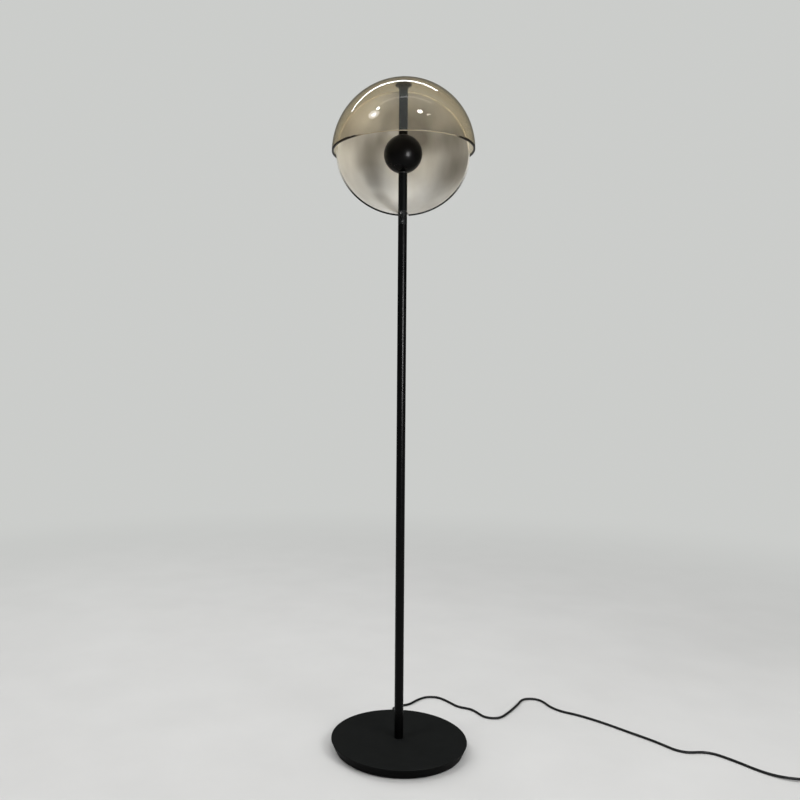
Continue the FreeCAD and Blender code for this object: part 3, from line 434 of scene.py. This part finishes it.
BY_SLOT = {
    "base_paint": base_paint, "satin_paint": satin_paint, "cast_iron": iron,
    "pad_rubber": seal_rubber, "zinc_steel": zinc_steel, "brass": brass,
    "inner_plastic": inner_plastic, "cord_pvc": cord_pvc, "lead_pvc": lead_pvc,
    "slip_plastic": slip_plastic, "hub_aluminium": aluminium, "board_aluminium": board,
    "led_phosphor": phosphor, "diffuser_acrylic": opal, "seal_rubber": seal_rubber,
    "amber_glass": amber, "satin_glass": satin, "switch_plastic": switch_plastic,
    "plug_plastic": switch_plastic, "plated_brass": nickel, "black_steel": black_steel,
}


def dress(piece, *materials):
    piece.data.materials.clear()
    for material in materials:
        piece.data.materials.append(material.material)


for row in frame["record"]["subparts"]:
    dress(nodes[row["node"]], BY_SLOT[row["material_slot"]])
dress(nodes["joint_collar"], fluted_paint)
dress(floor_cord, cord_pvc)
dress(coil, cord_pvc)


# ---------------------------------------------------------------- glass
GLASS_WALL = 0.004
EDGE_ROUND = 0.0012             # radius of the rounding on both sides of a rim
EDGE_TOP = EDGE_ROUND * 1.05    # faces lower than this above the rim belong to the rounding
CLAMP_HOLE = 0.004              # radius of the hole for the stud that holds the glass

DOME_RADIUS = 0.160
DOME_LINE = 0.0028              # how far the painted shade on the rim reaches up at the dome's sides
DOME_LINE_START = 0.090         # distance from the middle where it starts to widen
DOME_LINE_TAPER = 0.035         # and the length over which it does

REAR_RIM = 0.1505               # outer radius of the rear glass's rim
REAR_SPREAD = math.radians(67.0)
REAR_RADIUS = REAR_RIM / math.sin(REAR_SPREAD)
REAR_SETBACK = REAR_RIM / math.tan(REAR_SPREAD)
REAR_TILT = math.radians(9.5)   # the rear glass leans back
REAR_LINE = 0.0030              # width of the ground part of its rim
REAR_MIDDLE = 0.001             # radius of the hole that the turned section leaves
CLAMP_RISE = math.radians(1.019)
NOTCH_RADIUS = 0.0116

AROUND = 192
ALONG = 72
RIM_CROWDING = 1.5              # rows of faces lie closer together towards the rim
ROUND_STEPS = 4
NOTCH_STEPS = 32
HOLE_STEPS = 48
MERGE_REACH = 1e-6


def arc(radius, low, hole):
    """Section of a sphere from a hole at its top down to a height."""
    first = math.asin(hole / radius)
    last = math.acos(low / radius)
    points = []
    for k in range(ALONG + 1):
        angle = last - (last - first) * (1 - k / ALONG) ** RIM_CROWDING
        points.append((radius * math.sin(angle), radius * math.cos(angle)))
    return points


def shell_profile(outer, low, hole):
    """Section of a hollow sphere above a height, from the hole to a rounded rim and back."""
    inner = outer - GLASS_WALL
    middle = low + EDGE_ROUND
    out_edge = math.sqrt(outer ** 2 - middle ** 2)
    in_edge = math.sqrt(inner ** 2 - middle ** 2)
    profile = arc(outer, middle, hole)
    for start, center in ((0.0, out_edge - EDGE_ROUND), (math.pi / 2, in_edge + EDGE_ROUND)):
        for k in range(1, ROUND_STEPS + 1):
            angle = start + math.pi / 2 * k / ROUND_STEPS
            profile.append((center + EDGE_ROUND * math.cos(angle),
                            middle - EDGE_ROUND * math.sin(angle)))
    return profile + arc(inner, middle, hole)[::-1]


def circle(radius, count, start=0.0, end=2 * math.pi):
    return [(radius * math.cos(start + (end - start) * k / count),
             radius * math.sin(start + (end - start) * k / count)) for k in range(count)]


def piece_of(name, mesh):
    """A new object in the scene with the mesh, which is used up."""
    data = bpy.data.meshes.new(name)
    mesh.to_mesh(data)
    mesh.free()
    return put(name, data)


def turned(name, profile):
    """Closed surface of revolution about Z from a closed profile of radius and height."""
    mesh = bmesh.new()
    rings = []
    for radius, height in profile:
        rings.append([mesh.verts.new((radius * math.cos(2 * math.pi * k / AROUND),
                                      radius * math.sin(2 * math.pi * k / AROUND), height))
                      for k in range(AROUND)])
    for ring, following in zip(rings, rings[1:] + rings[:1]):
        for k in range(AROUND):
            after = (k + 1) % AROUND
            mesh.faces.new((ring[k], following[k], following[after], ring[after]))
    bmesh.ops.remove_doubles(mesh, verts=mesh.verts, dist=MERGE_REACH)
    bmesh.ops.recalc_face_normals(mesh, faces=mesh.faces)
    return piece_of(name, mesh)


def prism(name, outline, low, high):
    mesh = bmesh.new()
    bottom = [mesh.verts.new((x, y, low)) for x, y in outline]
    top = [mesh.verts.new((x, y, high)) for x, y in outline]
    mesh.faces.new(bottom[::-1])
    mesh.faces.new(top)
    for k in range(len(outline)):
        after = (k + 1) % len(outline)
        mesh.faces.new((bottom[k], bottom[after], top[after], top[k]))
    return piece_of(name, mesh)


def bake_place(piece, matrix):
    piece.data.transform(matrix)
    piece.data.update()


def cut(piece, cutter):
    """Boolean difference, applied at once; the cutter is used up."""
    modifier = piece.modifiers.new("cut", "BOOLEAN")
    modifier.operation = "DIFFERENCE"
    modifier.solver = "EXACT"
    modifier.object = cutter
    graph = bpy.context.evaluated_depsgraph_get()
    result = bpy.data.meshes.new_from_object(piece.evaluated_get(graph))
    piece.modifiers.clear()
    piece.data = result
    bpy.data.objects.remove(cutter)


def smooth(piece, sharp_angle):
    """Smooth shading, with a crease where faces meet at more than the angle."""
    for polygon in piece.data.polygons:
        polygon.use_smooth = True
    mesh = bmesh.new()
    mesh.from_mesh(piece.data)
    for edge in mesh.edges:
        edge.smooth = not edge.is_manifold or edge.calc_face_angle(0.0) < sharp_angle
    mesh.to_mesh(piece.data)
    mesh.free()


dome = turned("dome_glass", shell_profile(DOME_RADIUS, 0.0, CLAMP_HOLE))
bake_place(dome, Matrix.Translation((0, 0, GLOBE_Z)))
smooth(dome, sharp_angle=math.radians(50))
dress(dome, amber, dome_rim_painted_light)
# the rim's faces take the material with the painted highlight and shade
for polygon in dome.data.polygons:
    aside = (abs(polygon.center.x) - DOME_LINE_START) / DOME_LINE_TAPER
    if polygon.center.z - GLOBE_Z < EDGE_TOP + DOME_LINE * min(max(aside, 0.0), 1.0):
        polygon.material_index = 1
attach(dome, "stand")
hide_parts("amber_dome")

rear_way = Vector((0, math.cos(REAR_TILT), -math.sin(REAR_TILT)))
rear_center = Vector((0, 0, GLOBE_Z)) - rear_way * REAR_SETBACK
to_curvature = Matrix.Translation(rear_center)
rear = turned("rear_shell", shell_profile(REAR_RADIUS, REAR_SETBACK, REAR_MIDDLE))
bake_place(rear, to_curvature @ Matrix.Rotation(-(math.pi / 2 + REAR_TILT), 4, "X"))
notch_outline = [(NOTCH_RADIUS, -REAR_RADIUS), *circle(NOTCH_RADIUS, NOTCH_STEPS, 0.0, math.pi),
                 (-NOTCH_RADIUS, 0.0), (-NOTCH_RADIUS, -REAR_RADIUS)]
cut(rear, prism("slot", notch_outline, GLOBE_Z - 2 * REAR_RADIUS, GLOBE_Z - REAR_RIM / 2))
drill = prism("drill", circle(CLAMP_HOLE, HOLE_STEPS), REAR_RADIUS / 2, 2 * REAR_RADIUS)
bake_place(drill, to_curvature @ Matrix.Rotation(CLAMP_RISE - math.pi / 2, 4, "X"))
cut(rear, drill)
smooth(rear, sharp_angle=math.radians(35))
dress(rear, satin, ground_edge_painted_light)
# the rim's faces take the material with the painted light and shade
for polygon in rear.data.polygons:
    offset = polygon.center - rear_center
    depth = offset.dot(rear_way)
    across = (offset - rear_way * depth).length
    if depth < REAR_SETBACK + EDGE_TOP and across > REAR_RIM - REAR_LINE:
        polygon.material_index = 1
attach(rear, "head")
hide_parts("rear_glass")


# ---------------------------------------------------------------- floor
FLOOR_RADIUS = 60.0
FLOOR_STEPS = 96
FADE_START = 0.7                # distance where the floor begins to fade into the backdrop
FADE_END = 3.4

floor_mesh = bmesh.new()
floor_mesh.faces.new([floor_mesh.verts.new((x, y, 0.0))
                      for x, y in circle(FLOOR_RADIUS, FLOOR_STEPS)])
floor = piece_of("floor", floor_mesh)
floor_paint = Material("floor", (0.66, 0.66, 0.65), 0.75)
floor_paint.colors(floor_paint.noise(scale=5.0, detail=4.0), (0.65, 0.65, 0.64),
                   (0.68, 0.68, 0.67))
floor_paint.set(Specular_IOR_Level=0.0)
distance = floor_paint.add("ShaderNodeVectorMath", operation="LENGTH")
floor_paint.link(floor_paint.coordinates, distance.inputs[0])
share = floor_paint.add("ShaderNodeMath", operation="MULTIPLY")
floor_paint.link(smooth_step(floor_paint.tree, distance.outputs["Value"], FADE_START, FADE_END),
                 share.inputs[0])
floor_paint.link(seen_rays(floor_paint.tree), share.inputs[1])
glow = floor_paint.add("ShaderNodeEmission")
glow.inputs["Color"].default_value = (*BACKDROP, 1.0)
floor_paint.shade_with(glow.outputs["Emission"], share.outputs["Value"])
dress(floor, floor_paint)


# ---------------------------------------------------------------- world
FILL_LIGHT = 0.50
SKY_UP = (0.08, 0.30)           # the skylight sets in as a ray's direction on Z rises
SKY_FRONT = (0.40, -0.30)       # and as its direction on Y falls, which is to the front

world = bpy.data.worlds.new("studio")
world.use_nodes = True
scene.world = world
world_tree = world.node_tree
world_add = world_tree.nodes.new
world_link = world_tree.links.new

fill = world_tree.nodes["Background"]
fill.inputs["Color"].default_value = (1.0, 1.0, 1.0, 1.0)
fill.inputs["Strength"].default_value = FILL_LIGHT

way = world_add("ShaderNodeSeparateXYZ")
world_link(world_add("ShaderNodeTexCoord").outputs["Generated"], way.inputs["Vector"])
high = world_add("ShaderNodeMath")
high.operation = "MULTIPLY"
world_link(smooth_step(world_tree, way.outputs["Z"], *SKY_UP), high.inputs[0])
world_link(smooth_step(world_tree, way.outputs["Y"], *SKY_FRONT), high.inputs[1])
room_color = world_add("ShaderNodeMix")
room_color.data_type = "RGBA"
room_color.inputs["A"].default_value = (*ROOM, 1.0)
room_color.inputs["B"].default_value = (*SKYLIGHT, 1.0)
world_link(high.outputs["Value"], room_color.inputs["Factor"])
room = world_add("ShaderNodeBackground")
world_link(room_color.outputs["Result"], room.inputs["Color"])

backdrop = world_add("ShaderNodeBackground")
backdrop.inputs["Color"].default_value = (*BACKDROP, 1.0)

light = fill.outputs["Background"]
mirrored_rays = world_add("ShaderNodeLightPath").outputs["Is Glossy Ray"]
for rays, other in ((mirrored_rays, room), (seen_rays(world_tree), backdrop)):
    choose = world_add("ShaderNodeMixShader")
    world_link(rays, choose.inputs["Fac"])
    world_link(light, choose.inputs[1])
    world_link(other.outputs["Background"], choose.inputs[2])
    light = choose.outputs["Shader"]
world_link(light, world_tree.nodes["World Output"].inputs["Surface"])


# ---------------------------------------------------------------- lamps
LAMP_Z = 2.6                    # the lamps under the ceiling
GLOBE_AT = (0.0, 0.0, GLOBE_Z)
SPOTS = (                       # name, place, width, height and power of round spots
    ("spot_left", (-1.23, -0.76, LAMP_Z), 0.20, 0.15, 1.4),
    ("glow_left", (-1.23, -0.76, LAMP_Z + 0.02), 0.52, 0.40, 3.4),
    ("spot_left_small", (-0.86, -0.62, LAMP_Z), 0.15, 0.13, 1.8),
    ("spot_right", (0.56, -1.17, LAMP_Z), 0.20, 0.18, 3.0),
    ("spot_right_small", (0.95, -1.18, LAMP_Z), 0.22, 0.10, 0.6),
)


def lamp(name, place, target, width, height, power, mirrored=True, turn=0.0,
         shape="RECTANGLE"):
    """Soft flat lamp at a place, facing a target; only a mirrored one is seen in gloss."""
    data = bpy.data.lights.new(name, "AREA")
    data.shape = shape
    data.size = width
    data.size_y = height
    data.energy = power
    item = put(name, data)
    aim = (Vector(target) - Vector(place)).to_track_quat("-Z", "Y").to_matrix().to_4x4()
    item.matrix_world = Matrix.Translation(place) @ aim @ Matrix.Rotation(turn, 4, "Z")
    item.visible_camera = False
    item.visible_transmission = False
    item.visible_glossy = mirrored
    return item


lamp("key", (2.0, -2.2, 2.3), (0.0, 0.0, 0.9), 1.6, 1.6, 52.0, mirrored=False)
lamp("fill", (-2.2, -1.2, 1.6), (0.0, 0.0, 0.9), 1.2, 1.6, 8.0, mirrored=False)
lamp("back", (-1.5, 1.9, 1.8), (0.0, 0.0, 1.2), 1.0, 1.6, 12.0, mirrored=False)
window = lamp("window", (0.65, -1.3, 0.99), (0.0, 0.0, 1.33), 0.23, 0.40, 32.0)
window.visible_diffuse = False
lamp("tube_back", (-0.31, 0.62, LAMP_Z), (-0.31, 0.62, 0.0), 1.95, 0.09, 9.0, turn=-0.14)
lamp("tube_front", (0.0, -0.45, LAMP_Z), (0.0, -0.45, 0.0), 1.5, 0.10, 0.8)
for spot, spot_at, spot_width, spot_height, spot_power in SPOTS:
    lamp(spot, spot_at, GLOBE_AT, spot_width, spot_height, spot_power, shape="ELLIPSE")


# ---------------------------------------------------------------- end
bpy.context.view_layer.update()
